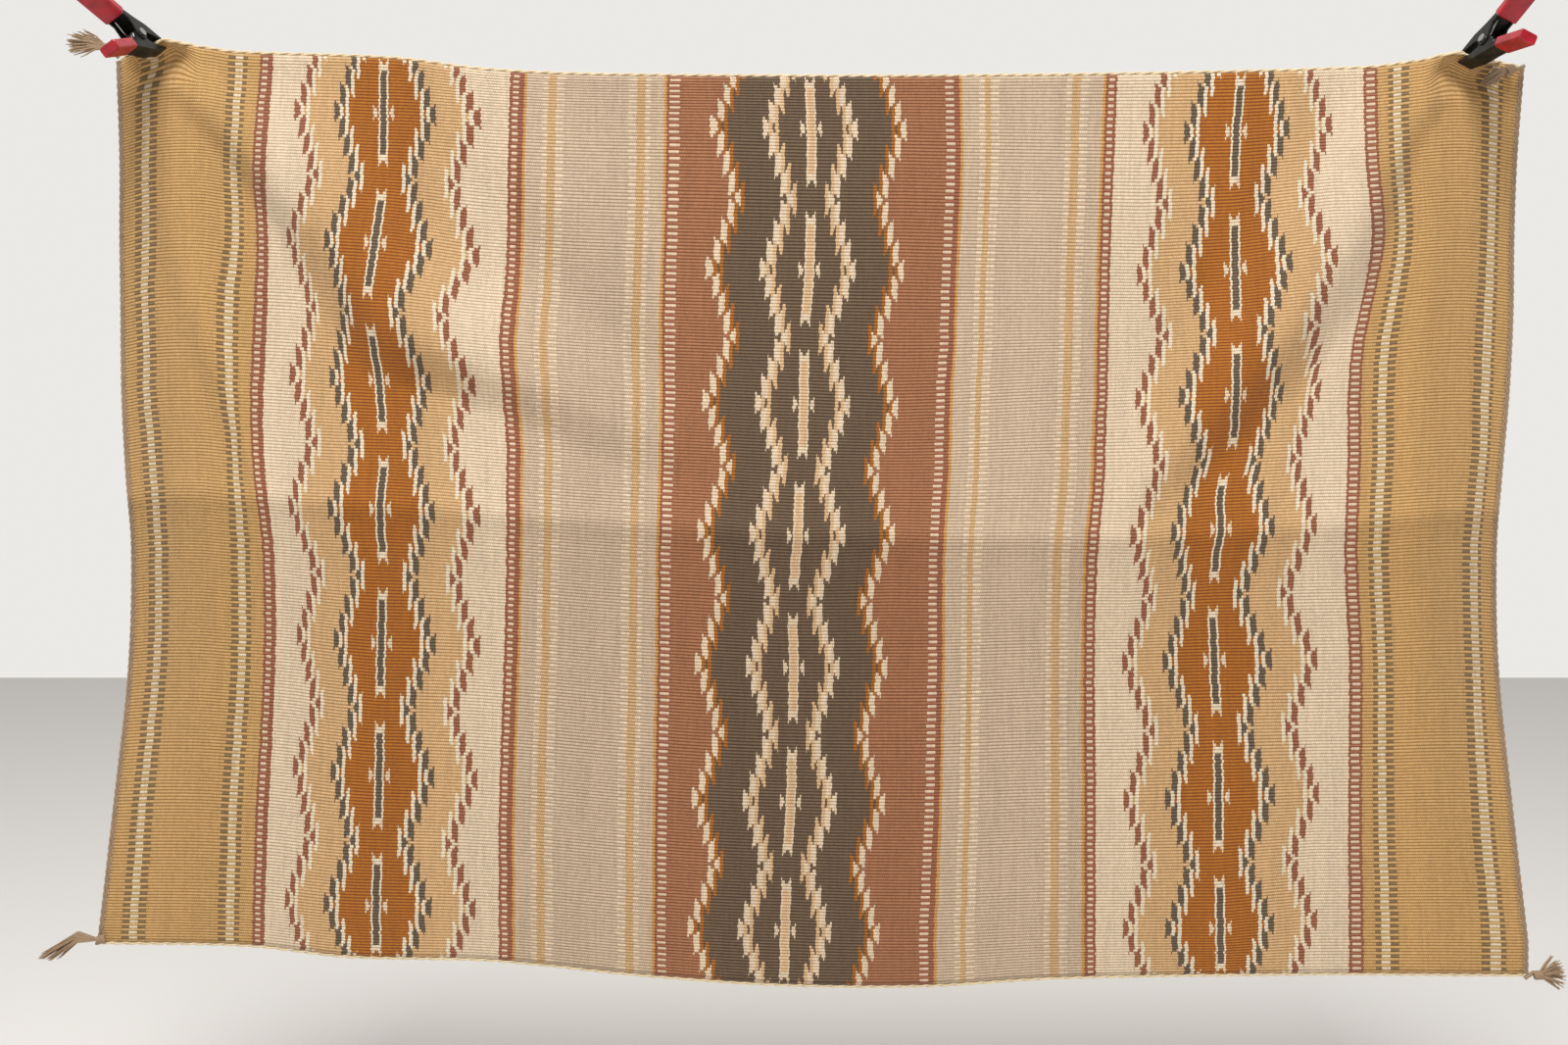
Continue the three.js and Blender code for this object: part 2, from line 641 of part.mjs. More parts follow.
for (const clamp of CLAMPS) {
  const frame = CLAMP_FRAMES[clamp.name];
  const whole = new THREE.Group();
  const turn = new THREE.Matrix4().makeBasis(frame.along, frame.across, frame.front);
  whole.quaternion.setFromRotationMatrix(turn);
  whole.position.copy(frame.tip);
  group.add(whole);
  const back = new THREE.Group();
  back.rotation.x = Math.PI;
  whole.add(back);
  addPiece(`clamp_${clamp.name}_front_lever`, geometryOf(lever(FRONT_LEVER_WIDTH)), BLACK_STEEL, whole);
  addPiece(`clamp_${clamp.name}_back_lever`, geometryOf(lever(BACK_LEVER_WIDTH)), BLACK_STEEL, back);
  addPiece(`clamp_${clamp.name}_pin`, pin(), BRIGHT_STEEL, whole);
  addPiece(`clamp_${clamp.name}_spring`, spring(), BRIGHT_STEEL, whole);
  addPiece(`clamp_${clamp.name}_front_grip`, sleeve(FRONT_LEVER_WIDTH), RED_VINYL, whole);
  addPiece(`clamp_${clamp.name}_back_grip`, sleeve(BACK_LEVER_WIDTH), RED_VINYL, back);
}

export default group;
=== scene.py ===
# A handwoven wool rug, hung sideways by two spring clamps at its top corners. Its pieces follow in the
# order in which they are made: the cloth, the cords that close its edges, the tassels at its corners,
# the clamps that carry it, and then the floor, the light and the camera.
import math
import random

import bmesh
import bpy
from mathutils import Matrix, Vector


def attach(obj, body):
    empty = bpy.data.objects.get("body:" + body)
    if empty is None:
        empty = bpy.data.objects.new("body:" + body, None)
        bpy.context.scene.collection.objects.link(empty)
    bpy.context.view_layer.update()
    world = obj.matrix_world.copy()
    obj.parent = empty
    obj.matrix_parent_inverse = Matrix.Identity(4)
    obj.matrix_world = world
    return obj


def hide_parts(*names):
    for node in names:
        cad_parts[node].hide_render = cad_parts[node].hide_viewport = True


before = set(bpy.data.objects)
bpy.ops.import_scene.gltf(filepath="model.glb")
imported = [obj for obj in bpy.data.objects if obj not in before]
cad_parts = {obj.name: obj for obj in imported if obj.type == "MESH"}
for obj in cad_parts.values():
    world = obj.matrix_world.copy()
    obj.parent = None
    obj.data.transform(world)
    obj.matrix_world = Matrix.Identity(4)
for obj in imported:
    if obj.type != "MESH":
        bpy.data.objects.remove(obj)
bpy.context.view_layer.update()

# The rug's cloth: handspun wool, with the weft beaten down so densely over the warps that only weft
# shows. The warps lie level, because the rug hangs sideways, and each one makes a rib. Sizes are in
# millimetres: u runs along the rug, v down its face, and warps are counted from the top edge.
MM = 0.001
RUG_LENGTH = 1456
WARP_PITCH = 3.2
WARPS = 287
RUG_WIDTH = WARP_PITCH * WARPS
CLOTH_THICKNESS = 2.5

# Where the cloth is seen, x to the right of the middle between the clamps and down from their line. A
# place that stands out is drawn in towards the eye by its distance.
EYE = {"x": -30, "down": 481, "distance": 1555}
TOP_EDGE = [
    (-706, 9.5), (-672, -0.5), (-627, -2.5), (-590, 2.5), (-430, 8.5), (-330, 20.5),
    (-200, 25.5), (170, 26.5), (558, 18.5), (634, 9.5), (670, 8.5), (720, 17.5),
]
BOTTOM_EDGE = [
    (-728, 908), (-575, 911), (-475, 922), (-330, 926), (-165, 942), (-30, 951), (110, 952),
    (250, 944), (510, 940), (725, 941),
]

# How far a course of weft is seen to the right of its place on the bottom edge. The two ends come first,
# as (down, left, right). The stripes follow, each read at the same twelve heights.
FIRST_COURSE = -728
END_DRIFT = [
    (18, 22, -8), (108, 25, -15), (188, 25, -18), (268, 26, -19), (348, 27, -23), (428, 31, -30),
    (508, 37, -36), (628, 34, -34), (768, 19, -20), (908, 3, -4),
]
STRIPE_HEIGHTS = (18, 108, 188, 248, 298, 348, 398, 448, 508, 628, 768, 898)
STRIPE_DRIFTS = {
    24: (15, 14, 14, 14, 16, 16, 20, 24, 28, 26, 11, 0),
    123: (11, 6, 7, -1, -2, 1, 8, 10, 13, 13, 4, 0),
    160: (8, 0, 4, 3, 0, -3, -3, 2, 10, 11, 4, 0),
    412: (13, 10, 9, 6, 1, 4, 8, 8, 8, 5, 0, 0),
    571: (13, 12, 10, 8, 8, 8, 7, 6, 4, 3, 1, 0),
    840: (26, 28, 25, 22, 21, 17, 16, 14, 10, 9, 6, 0),
    1009: (23, 19, 16, 14, 13, 12, 10, 8, 2, -1, 0, 0),
    1282: (13, 15, 21, 11, 0, -4, -4, -5, -7, -2, -3, -2),
    1421: (0, -2, -4, -6, -8, -10, -11, -15, -21, -19, -12, 0),
}

# The diamonds' sides and middle bars, read at their widest and narrowest places, as (down, drift).
DIAMOND_DRIFTS = {
    208: [(61, 7), (122, 1), (190, -4), (263, 1), (330, 2), (400, -1), (465, -2), (534, 5),
          (595, 7), (666, 4), (730, 4), (801, -2), (865, -6)],
    284: [(18, 6), (108, 5), (148, 3), (196, -4), (249, -11), (284, -7), (337, 1), (392, 5),
          (425, 6), (467, 2), (521, 5), (604, 3), (739, 1), (872, -2)],
    370: [(69, 2), (139, 3), (210, 1), (266, -9), (341, -3), (408, 1), (474, 2), (541, 5),
          (607, 3), (743, 2), (875, -1)],
    604: [(77, 26), (222, 21), (357, 17), (489, 12), (624, 9), (761, 6), (893, 1)],
    700: [(29, 24), (79, 26), (138, 26), (224, 24), (278, 20), (361, 18), (415, 17), (443, 14),
          (494, 12), (563, 7), (629, 8), (681, 7), (765, 5), (832, 1), (944, -2)],
    793: [(81, 27), (225, 24), (364, 18), (493, 15), (629, 7), (768, 5), (900, -1)],
    1060: [(84, 18), (154, 13), (228, 11), (289, 13), (354, 10), (424, 10), (495, 6), (560, -1),
           (624, -4), (693, 0), (764, -2), (895, -3)],
    1143: [(24, 21), (54, 19), (82, 16), (140, 14), (223, 15), (297, 17), (351, 16), (402, 12),
           (439, 2), (458, -1), (488, 0), (510, -4), (555, -8), (621, -7), (707, -3), (814, -2),
           (895, 0)],
    1230: [(74, 12), (148, 14), (210, 18), (278, 20), (347, 2), (416, 0), (483, -2), (551, -8),
           (620, -3), (687, -3), (756, 0), (826, -3), (886, -3)],
}
COURSES = {u: list(zip(STRIPE_HEIGHTS, drifts)) for u, drifts in STRIPE_DRIFTS.items()}
COURSES.update(DIAMOND_DRIFTS)
COURSES[0] = [(down, left) for down, left, right in END_DRIFT]
COURSES[RUG_LENGTH] = [(down, right) for down, left, right in END_DRIFT]
COURSE_PLACES = sorted(COURSES)

# The warps that run through the widest places of the diamonds, and how far down each is seen.
WIDEST_WARP = 17.5
WARPS_IN_REPEAT = 42
WIDEST_SEEN = {
    196: [61, 190, 330, 465, 595, 730, 865],
    284: [64, 196, 336, 467, 604, 739, 872],
    380: [69, 210, 341, 474, 607, 743, 875],
    603: [77, 222, 357, 489, 625, 762, 893],
    700: [80, 224, 361, 495, 629, 766, 897],
    796: [81, 225, 365, 493, 629, 768, 900],
    1049: [84, 229, 355, 495, 624, 764, 895],
    1143: [83, 223, 351, 488, 621, 761, 895],
    1241: [76, 210, 347, 483, 620, 757, 886],
}


def follow(rows, at, column=1):
    """A smooth curve through rows whose first column rises, read at a place in that column."""
    last = len(rows) - 1
    if at <= rows[0][0]:
        return rows[0][column]
    if at >= rows[last][0]:
        return rows[last][column]
    i = 0
    while rows[i + 1][0] < at:
        i += 1
    before, low, high, after = rows[max(i - 1, 0)], rows[i], rows[i + 1], rows[min(i + 2, last)]
    span = high[0] - low[0]
    leave = span * (high[column] - before[column]) / (high[0] - before[0])
    arrive = span * (after[column] - low[column]) / (after[0] - low[0])
    t = (at - low[0]) / span
    h = 1 - t
    return (
        low[column] * h * h * (1 + 2 * t)
        + leave * t * h * h
        + high[column] * t * t * (3 - 2 * t)
        - arrive * t * t * h
    )


def fade(t):
    """1 at zero and below, 0 at one and above, and smooth between."""
    c = min(max(t, 0), 1)
    return 1 - c * c * (3 - 2 * c)


def between(places, at):
    """The two neighbours of a place in a rising list, and its share of the way between them."""
    i = 0
    while i < len(places) - 2 and at > places[i + 1]:
        i += 1
    low, high = places[i], places[i + 1]
    return low, high, min(max((at - low) / (high - low), 0), 1)


def course_x(u, down):
    """How far to the right a course is seen."""
    low, high, share = between(COURSE_PLACES, u)
    drift = follow(COURSES[low], down) * (1 - share) + follow(COURSES[high], down) * share
    return FIRST_COURSE + u + drift


def edges_at(x):
    return follow(TOP_EDGE, x), follow(BOTTOM_EDGE, x)


WARP_LINES = {}
for column, heights in WIDEST_SEEN.items():
    rows = [(0, 0)]
    for i, down in enumerate(heights):
        top, bottom = edges_at(course_x(column, down))
        rows.append((WIDEST_WARP + WARPS_IN_REPEAT * i, (down - top) / (bottom - top)))
    WARP_LINES[column] = rows + [(WARPS, 1)]
WARP_LINE_PLACES = list(WARP_LINES)


def v_of_warp(u, warp):
    """How far down the cloth's face a warp runs, because the cloth was beaten unevenly."""
    low, high, share = between(WARP_LINE_PLACES, u)
    return RUG_WIDTH * (
        follow(WARP_LINES[low], warp) * (1 - share) + follow(WARP_LINES[high], warp) * share
    )


# The folds. The storage crease runs near the middle warp, as (u, v). The others are crests, as (x, down,
# out, reach on the upper side, reach on the lower side).
CREASE_LINE = [(0, 458), (400, 458), (700, 463), (1040, 472), (1250, 464), (1456, 452)]
CREASE = {"out": 40, "above": 150, "below": 130, "rest": 12, "radius": 7}
CREASE_RIDGE = {"out": 2.2, "half_width": 11}
TOP_STAYS_BACK = {"reach": 120, "share": 0.9}
LEFT_FOLD = [
    (-680, 10, 0, 24, 14), (-607, 72, 13, 46, 26), (-512, 172, 23, 100, 50), (-437, 270, 27, 122, 56),
    (-377, 302, 25, 122, 50), (-290, 335, 19, 110, 50), (-190, 380, 9, 90, 46), (-90, 410, 0, 80, 40),
]
RIGHT_FOLD = [
    (300, 462, 0, 80, 40), (330, 440, 8, 88, 42), (395, 378, 20, 100, 46), (455, 313, 25, 110, 50),
    (510, 248, 25, 110, 50), (560, 173, 21, 90, 46), (610, 78, 11, 46, 26), (670, 12, 0, 24, 14),
]
LOW_LEFT_FOLD = [
    (-690, 80, 0, 30, 20), (-650, 210, 5, 36, 20), (-620, 300, 8, 42, 22), (-590, 370, 8, 42, 22),
    (-560, 440, 0, 40, 20),
]
MIDDLE_FOLD = [
    (-420, 40, 0, 60, 50), (-330, 90, 6, 90, 60), (-240, 170, 8, 110, 66), (-160, 260, 6, 100, 60),
    (-90, 340, 0, 80, 50),
]
FOLDS = [LEFT_FOLD, RIGHT_FOLD, LOW_LEFT_FOLD, MIDDLE_FOLD]
END_CURL_REACH = 115
END_CURL = [
    (10, 0, 0), (150, 16, 22), (300, 34, 32), (480, 46, 42), (620, 44, 44), (770, 22, 22), (910, 3, 3),
]


def fold_out(rows, x, down):
    """One fold's height at a place: a rounded crest with its own reach above and below."""
    out = follow(rows, x, 2)
    if out <= 0:
        return 0
    step = 4
    slope = (follow(rows, x + step) - follow(rows, x - step)) / (2 * step)
    across = (follow(rows, x) - down) / math.hypot(1, slope)
    reach = follow(rows, x, 3 if across > 0 else 4)
    return out * fade(abs(across) / reach)


def cloth_out(u, v, x, down):
    """How far the cloth stands out to the front."""
    crease = v - follow(CREASE_LINE, u)
    away = math.hypot(crease, CREASE["radius"]) - CREASE["radius"]
    if crease < 0:
        held = TOP_STAYS_BACK["share"] * fade(v / TOP_STAYS_BACK["reach"])
        out = CREASE["out"] * math.exp(-away / CREASE["above"]) * (1 - held)
    else:
        rest = CREASE["rest"]
        out = rest + (CREASE["out"] - rest) * math.exp(-away / CREASE["below"])
    out += sum(fold_out(rows, x, down) for rows in FOLDS)
    out += CREASE_RIDGE["out"] * math.exp(-((crease / CREASE_RIDGE["half_width"]) ** 2))
    out -= follow(END_CURL, down, 1) * fade(u / END_CURL_REACH)
    out -= follow(END_CURL, down, 2) * fade((RUG_LENGTH - u) / END_CURL_REACH)
    return out


def seen(x, down, out):
    """A place that is seen at x, down and stands out by so much, as X, Y, Z in millimetres."""
    near = 1 - out / EYE["distance"]
    right = EYE["x"] + (x - EYE["x"]) * near
    return Vector((right, -out, -EYE["down"] - (down - EYE["down"]) * near))


# Where each clamp grips the cloth: the strip of the top edge between its jaws is bent forward.
CLAMPS = [
    {
        "name": "left", "u": 47, "x": -667, "down": -1, "out": 3.4,
        "to_handles": (-0.304, -0.952, 0.04), "to_front": (0.457, -0.17, -0.901),
    },
    {
        "name": "right", "u": 1389, "x": 664, "down": 13, "out": 3.4,
        "to_handles": (0.333, -0.889, 0.32), "to_front": (-0.273, -0.362, -0.891),
    },
]
GRIP_DEPTH = 9
BENT_STRIP = {"half_width": 12, "depth": 12, "side_reach": 34, "down_reach": 30}
for clamp in CLAMPS:
    clamp["along"] = Vector(clamp["to_handles"]).normalized()
    front = Vector(clamp["to_front"])
    clamp["front"] = (front - clamp["along"] * front.dot(clamp["along"])).normalized()
    clamp["across"] = clamp["front"].cross(clamp["along"])
    clamp["tip"] = seen(clamp["x"], clamp["down"], clamp["out"])


def cloth_middle(u, v):
    """The middle of the cloth's thickness at u along the rug and v down its face, in millimetres."""
    x = FIRST_COURSE + u
    for _ in range(3):
        top, bottom = edges_at(x)
        down = top + (bottom - top) * v / RUG_WIDTH
        x = course_x(u, down)
    place = seen(x, down, cloth_out(u, v, x, down))
    half = BENT_STRIP["half_width"]
    for clamp in CLAMPS:
        aside = clamp["u"] - u
        weight = fade((abs(aside) - half) / BENT_STRIP["side_reach"])
        weight *= fade((v - BENT_STRIP["depth"]) / BENT_STRIP["down_reach"])
        if weight > 0:
            gripped = min(max(aside, -half), half)
            strip = clamp["tip"] + clamp["across"] * gripped + clamp["along"] * (GRIP_DEPTH - v)
            strip.x -= aside - gripped
            place = place.lerp(strip, weight)
    return place


CLOTH_COLUMNS = 240
CLOTH_ROWS = 150


def placed(name, data):
    """Makes an object of its data and puts it in the scene."""
    obj = bpy.data.objects.new(name, data)
    bpy.context.scene.collection.objects.link(obj)
    return obj


def piece(name, bm, finish):
    """Makes an object of a bmesh, with its place in its mesh."""
    mesh = bpy.data.meshes.new(name)
    bm.to_mesh(mesh)
    bm.free()
    mesh.materials.append(finish)
    return placed(name, mesh)


bm = bmesh.new()
bmesh.ops.create_grid(bm, x_segments=CLOTH_COLUMNS, y_segments=CLOTH_ROWS, size=0.5)
cloth_uv = bm.loops.layers.uv.new("cloth")
for vert in bm.verts:
    u = (vert.co.x + 0.5) * RUG_LENGTH
    warp = (0.5 - vert.co.y) * WARPS
    for loop in vert.link_loops:
        loop[cloth_uv].uv = (u * MM, warp * WARP_PITCH * MM)
    vert.co = cloth_middle(u, v_of_warp(u, warp)) * MM
for face in bm.faces:
    face.smooth = True


def linear(code):
    """The linear colour of an sRGB hex value."""
    parts = [int(code[i : i + 2], 16) / 255 for i in (1, 3, 5)]
    return [p / 12.92 if p < 0.04045 else ((p + 0.055) / 1.055) ** 2.4 for p in parts] + [1]


def add(tree, kind, inputs=(), stops=(), steps=False, **settings):
    """Adds a node with its settings, a ramp's stops, and its inputs as values, sockets or nodes."""
    node = tree.nodes.new(kind)
    for name, value in settings.items():
        setattr(node, name, value)
    if stops:
        ramp = node.color_ramp
        ramp.interpolation = "CONSTANT" if steps else "LINEAR"
        ramp.elements.remove(ramp.elements[1])
        for i, (place, colour) in enumerate(stops):
            element = ramp.elements[0] if i == 0 else ramp.elements.new(place)
            element.position, element.color = place, colour
    sockets = [socket for socket in node.inputs if socket.enabled]
    named = {socket.name: socket for socket in reversed(sockets)}
    for key, value in inputs.items() if isinstance(inputs, dict) else enumerate(inputs):
        socket = named[key] if isinstance(key, str) else sockets[key]
        if isinstance(value, bpy.types.Node):
            value = next(output for output in value.outputs if output.enabled)
        if isinstance(value, bpy.types.NodeSocket):
            tree.links.new(value, socket)
        else:
            socket.default_value = value
    return node


def material(name):
    made = bpy.data.materials.new(name)
    made.use_nodes = True
    made.node_tree.nodes.clear()
    return made, made.node_tree


# The dyed wools. Plain ones are the sheep's own cream, sand and grey-brown.
GOLD, CREAM, TAN, OCHRE = "#caa46c", "#e1cdb2", "#d4b082", "#b06f1d"
GREY_BROWN, RUST, BROWN_RED, WHITISH = "#75604a", "#a97654", "#a26a4d", "#e6d8c0"
SAND, ROSE, PEACH, DARK = "#cdb79e", "#dcc2a8", "#d9b890", "#8a7350"
GREY, HONEY, FLAX, STRAW = "#736350", "#cf9f5c", "#d0ae82", "#cdb07c"

# The stripes from the left end: where each ends, its wool, and the wool on every second rib, where bars,
# beads and rungs are woven by changing wools from pick to pick.
STRIPES = [
    (19.4, GOLD, GOLD), (28.6, GOLD, DARK), (36.6, STRAW, CREAM), (44, GOLD, DARK), (119, GOLD, GOLD),
    (127.6, GOLD, DARK), (135, STRAW, CREAM), (142, GOLD, DARK), (153.5, GOLD, GOLD),
    (156.8, BROWN_RED, BROWN_RED), (164, BROWN_RED, ROSE), (167.4, BROWN_RED, BROWN_RED),
    (405, CREAM, CREAM), (408.2, BROWN_RED, BROWN_RED), (415.6, BROWN_RED, ROSE),
    (418.8, BROWN_RED, BROWN_RED), (423, HONEY, HONEY),
    (438.5, SAND, SAND), (444.5, SAND, CREAM), (452.5, FLAX, FLAX), (460, SAND, CREAM),
    (527.6, SAND, SAND), (535, SAND, CREAM), (542, FLAX, FLAX), (549, SAND, CREAM),
    (562, SAND, SAND), (564, HONEY, HONEY), (568, BROWN_RED, BROWN_RED), (574.5, BROWN_RED, ROSE),
    (835.3, RUST, RUST), (843.3, BROWN_RED, ROSE), (848, BROWN_RED, BROWN_RED), (852, HONEY, HONEY),
    (868.4, SAND, SAND), (876.6, SAND, CREAM), (882.7, FLAX, FLAX), (889.8, SAND, CREAM),
    (960, SAND, SAND), (968.4, SAND, CREAM), (976.6, FLAX, FLAX), (985.8, SAND, CREAM),
    (1000, SAND, SAND), (1002.5, HONEY, HONEY), (1005.8, BROWN_RED, BROWN_RED),
    (1012, BROWN_RED, ROSE), (1015.3, BROWN_RED, BROWN_RED), (1273.4, CREAM, CREAM),
    (1277.2, BROWN_RED, BROWN_RED), (1286, BROWN_RED, ROSE), (1290, BROWN_RED, BROWN_RED),
    (1301.7, GOLD, GOLD), (1307.6, GOLD, DARK), (1315, STRAW, CREAM),
    (1323.4, GOLD, DARK), (1408, GOLD, GOLD), (1416.4, GOLD, DARK), (1426.6, STRAW, CREAM),
    (1435, GOLD, DARK), (RUG_LENGTH, GOLD, GOLD),
]
MIDDLE_COURSE = 700


def stripe_stops(start, end, column):
    """A ramp's stops for the stripes between two courses, on plain ribs or on every second one."""
    stops, begins, last = [], 0, None
    for ends, *wools in STRIPES:
        if ends > start and begins < end and wools[column] != last:
            place = max(begins - start, 0) / (end - start)
            stops.append((place, linear(wools[column])))
            last = wools[column]
        begins = ends
    return stops


wool, tree = material("weft_faced_handspun_wool")
cloth_place = add(tree, "ShaderNodeUVMap", uv_map="cloth")
flat = add(tree, "ShaderNodeSeparateXYZ", [cloth_place])
along = add(tree, "ShaderNodeMath", [flat.outputs["X"], 1 / MM], operation="MULTIPLY")
warp = add(tree, "ShaderNodeMath", [flat.outputs["Y"], 1 / MM / WARP_PITCH], operation="MULTIPLY")
rib = add(tree, "ShaderNodeMath", [warp], operation="FLOOR")
parity = add(tree, "ShaderNodeMath", [rib, 2], operation="MODULO")

# Each rib's colour changes a little early or late, because a weaver beats by hand.
LATEST = 0.6
chance = add(tree, "ShaderNodeTexWhiteNoise", {"W": rib}, noise_dimensions="1D")
early = add(tree, "ShaderNodeMath", [chance, 2 * LATEST, -LATEST], operation="MULTIPLY_ADD")
course = add(tree, "ShaderNodeMath", [along, early], operation="ADD")
on_right = add(tree, "ShaderNodeMath", [course, MIDDLE_COURSE], operation="GREATER_THAN")
left_share = add(tree, "ShaderNodeMath", [course, MIDDLE_COURSE], operation="DIVIDE")
right_share = add(
    tree, "ShaderNodeMapRange", {"Value": course, "From Min": MIDDLE_COURSE, "From Max": RUG_LENGTH}
)
halves = []
for share, start, end in ((left_share, 0, MIDDLE_COURSE), (right_share, MIDDLE_COURSE, RUG_LENGTH)):
    plain = add(tree, "ShaderNodeValToRGB", [share], stripe_stops(start, end, 0), steps=True)
    second = add(tree, "ShaderNodeValToRGB", [share], stripe_stops(start, end, 1), steps=True)
    halves.append(add(tree, "ShaderNodeMix", [parity, plain, second], data_type="RGBA"))
woven = add(tree, "ShaderNodeMix", [on_right, *halves], data_type="RGBA")

# The serrated diamonds. A tooth is a slanted block of wool, with a companion of another wool on its
# inner side, and each tooth stands further in than the one before it. Distances across a band run from
# its middle bar, and turns are counted in ribs from the widest place.
TOOTH_WIDTH = 6
TOOTH_RISE = 5.8
TOOTH_SLANT = 2
TOOTH_ENDS = (-12, -2.8, 3.6)
COMPANION_SHARE = 0.6
BAND_HALF = WARPS_IN_REPEAT / 2
from_widest = add(tree, "ShaderNodeMath", [rib, WIDEST_WARP - 0.5], operation="SUBTRACT")
turn = add(tree, "ShaderNodeMath", [from_widest, BAND_HALF], operation="PINGPONG")


def from_bar(bar, left_scale, right_scale):
    """How far a course lies from a band's middle bar, evened out between its two sides."""
    right = add(tree, "ShaderNodeMath", [course, bar], operation="SUBTRACT")
    sides = [
        add(tree, "ShaderNodeMath", [right, scale], operation="MULTIPLY")
        for scale in (-left_scale, right_scale)
    ]
    return add(tree, "ShaderNodeMath", sides, operation="MAXIMUM")


def lay_over(under, over, show):
    return add(tree, "ShaderNodeMix", [show, under, over], data_type="RGBA")


def serrated(under, across, outermost, tooth, companion, inside):
    """Lays a serrated edge and the wool inside it over the cloth."""
    inward = add(tree, "ShaderNodeMath", [outermost, across], operation="SUBTRACT")
    column = add(tree, "ShaderNodeMath", [inward, TOOTH_WIDTH], operation="DIVIDE")
    step = add(tree, "ShaderNodeMath", [column], operation="FLOOR")
    slanted = add(tree, "ShaderNodeMath", [column, TOOTH_SLANT, turn], operation="MULTIPLY_ADD")
    rise = -(TOOTH_RISE + TOOTH_SLANT)
    place = add(tree, "ShaderNodeMath", [step, rise, slanted], operation="MULTIPLY_ADD")
    within = add(tree, "ShaderNodeMath", [column], operation="FRACT")
    past = add(tree, "ShaderNodeMath", [within, COMPANION_SHARE], operation="GREATER_THAN")
    below = add(tree, "ShaderNodeMath", [place, TOOTH_ENDS[1]], operation="LESS_THAN")
    beside = add(tree, "ShaderNodeMath", [past, below], operation="MULTIPLY")
    place = add(tree, "ShaderNodeMath", [beside, -TOOTH_RISE * 2, place], operation="MULTIPLY_ADD")
    share = add(tree, "ShaderNodeMath", [place, 0.5 / BAND_HALF, 0.5], operation="MULTIPLY_ADD")
    starts = [0] + [0.5 + end * 0.5 / BAND_HALF for end in TOOTH_ENDS]
    colours = [linear(inside), linear(companion), linear(tooth), [0, 0, 0, 0]]
    ramp = add(tree, "ShaderNodeValToRGB", [share], list(zip(starts, colours)), steps=True)
    return lay_over(under, ramp, ramp.outputs["Alpha"])


# The middle bars with forked ends, and a small flag on each side of them.
BAR = {"core": 3.1, "core_end": 13.5, "half_width": 5, "notch": 15, "end": 17.6}
FLAG = {"from": 6.2, "to": 10.7, "low": 0.6, "high": 2.5}
BAR_SPAN = 12
TALLEST = 20


def bar_and_flags(under, across, core, edge, flag):
    """Lays a band's middle bar and its flags over the cloth."""
    share = add(tree, "ShaderNodeMath", [across, BAR_SPAN], operation="DIVIDE")
    heights = [
        (0, BAR["notch"]), (BAR["half_width"], BAR["end"]), (BAR["half_width"] + 0.01, 0),
        (FLAG["from"], 0), (FLAG["from"] + 0.01, FLAG["low"]), (FLAG["to"], FLAG["high"]),
        (FLAG["to"] + 0.01, 0),
    ]
    limits = [(x / BAR_SPAN, [h / TALLEST] * 3 + [1]) for x, h in heights]
    limit = add(tree, "ShaderNodeValToRGB", [share], limits)
    height = add(tree, "ShaderNodeMath", [turn, TALLEST], operation="DIVIDE")
    show = add(tree, "ShaderNodeMath", [height, limit], operation="LESS_THAN")
    colours = [(0, core), (BAR["core"], edge), (BAR["half_width"], flag)]
    wools = [(x / BAR_SPAN, linear(wool_code)) for x, wool_code in colours]
    ended = add(tree, "ShaderNodeMath", [turn, BAR["core_end"]], operation="GREATER_THAN")
    past_core = BAR["core"] / BAR_SPAN
    place = add(tree, "ShaderNodeMath", [ended, past_core, share], operation="MULTIPLY_ADD")
    ramp = add(tree, "ShaderNodeValToRGB", [place], wools, steps=True)
    return lay_over(under, ramp, show)


# The bands: where each has its middle bar, how its two sides are evened out, and how far its outer and
# inner serrated edges reach from the bar.
LEFT_BAND = {"bar": 284, "left_scale": 1.045, "right_scale": 0.948}
RIGHT_BAND = {"bar": 1143, "left_scale": 0.975, "right_scale": 0.939}
MIDDLE_BAND = {"bar": MIDDLE_COURSE, "left_scale": 0.9735, "right_scale": 1.027}
SIDE_REACH = {"outer": 94.9, "inner": 53}
MIDDLE_REACH = {"outer": 98.5, "inner": 48}
left_band = from_bar(**LEFT_BAND)
right_band = from_bar(**RIGHT_BAND)
side_bands = add(tree, "ShaderNodeMath", [left_band, right_band], operation="MINIMUM")
middle_band = from_bar(**MIDDLE_BAND)
woven = serrated(woven, side_bands, SIDE_REACH["outer"], BROWN_RED, WHITISH, TAN)
woven = serrated(woven, side_bands, SIDE_REACH["inner"], GREY, WHITISH, OCHRE)
woven = bar_and_flags(woven, side_bands, GREY, WHITISH, CREAM)
woven = serrated(woven, middle_band, MIDDLE_REACH["outer"], CREAM, OCHRE, GREY_BROWN)
woven = serrated(woven, middle_band, MIDDLE_REACH["inner"], CREAM, PEACH, GREY_BROWN)
woven = bar_and_flags(woven, middle_band, PEACH, CREAM, CREAM)

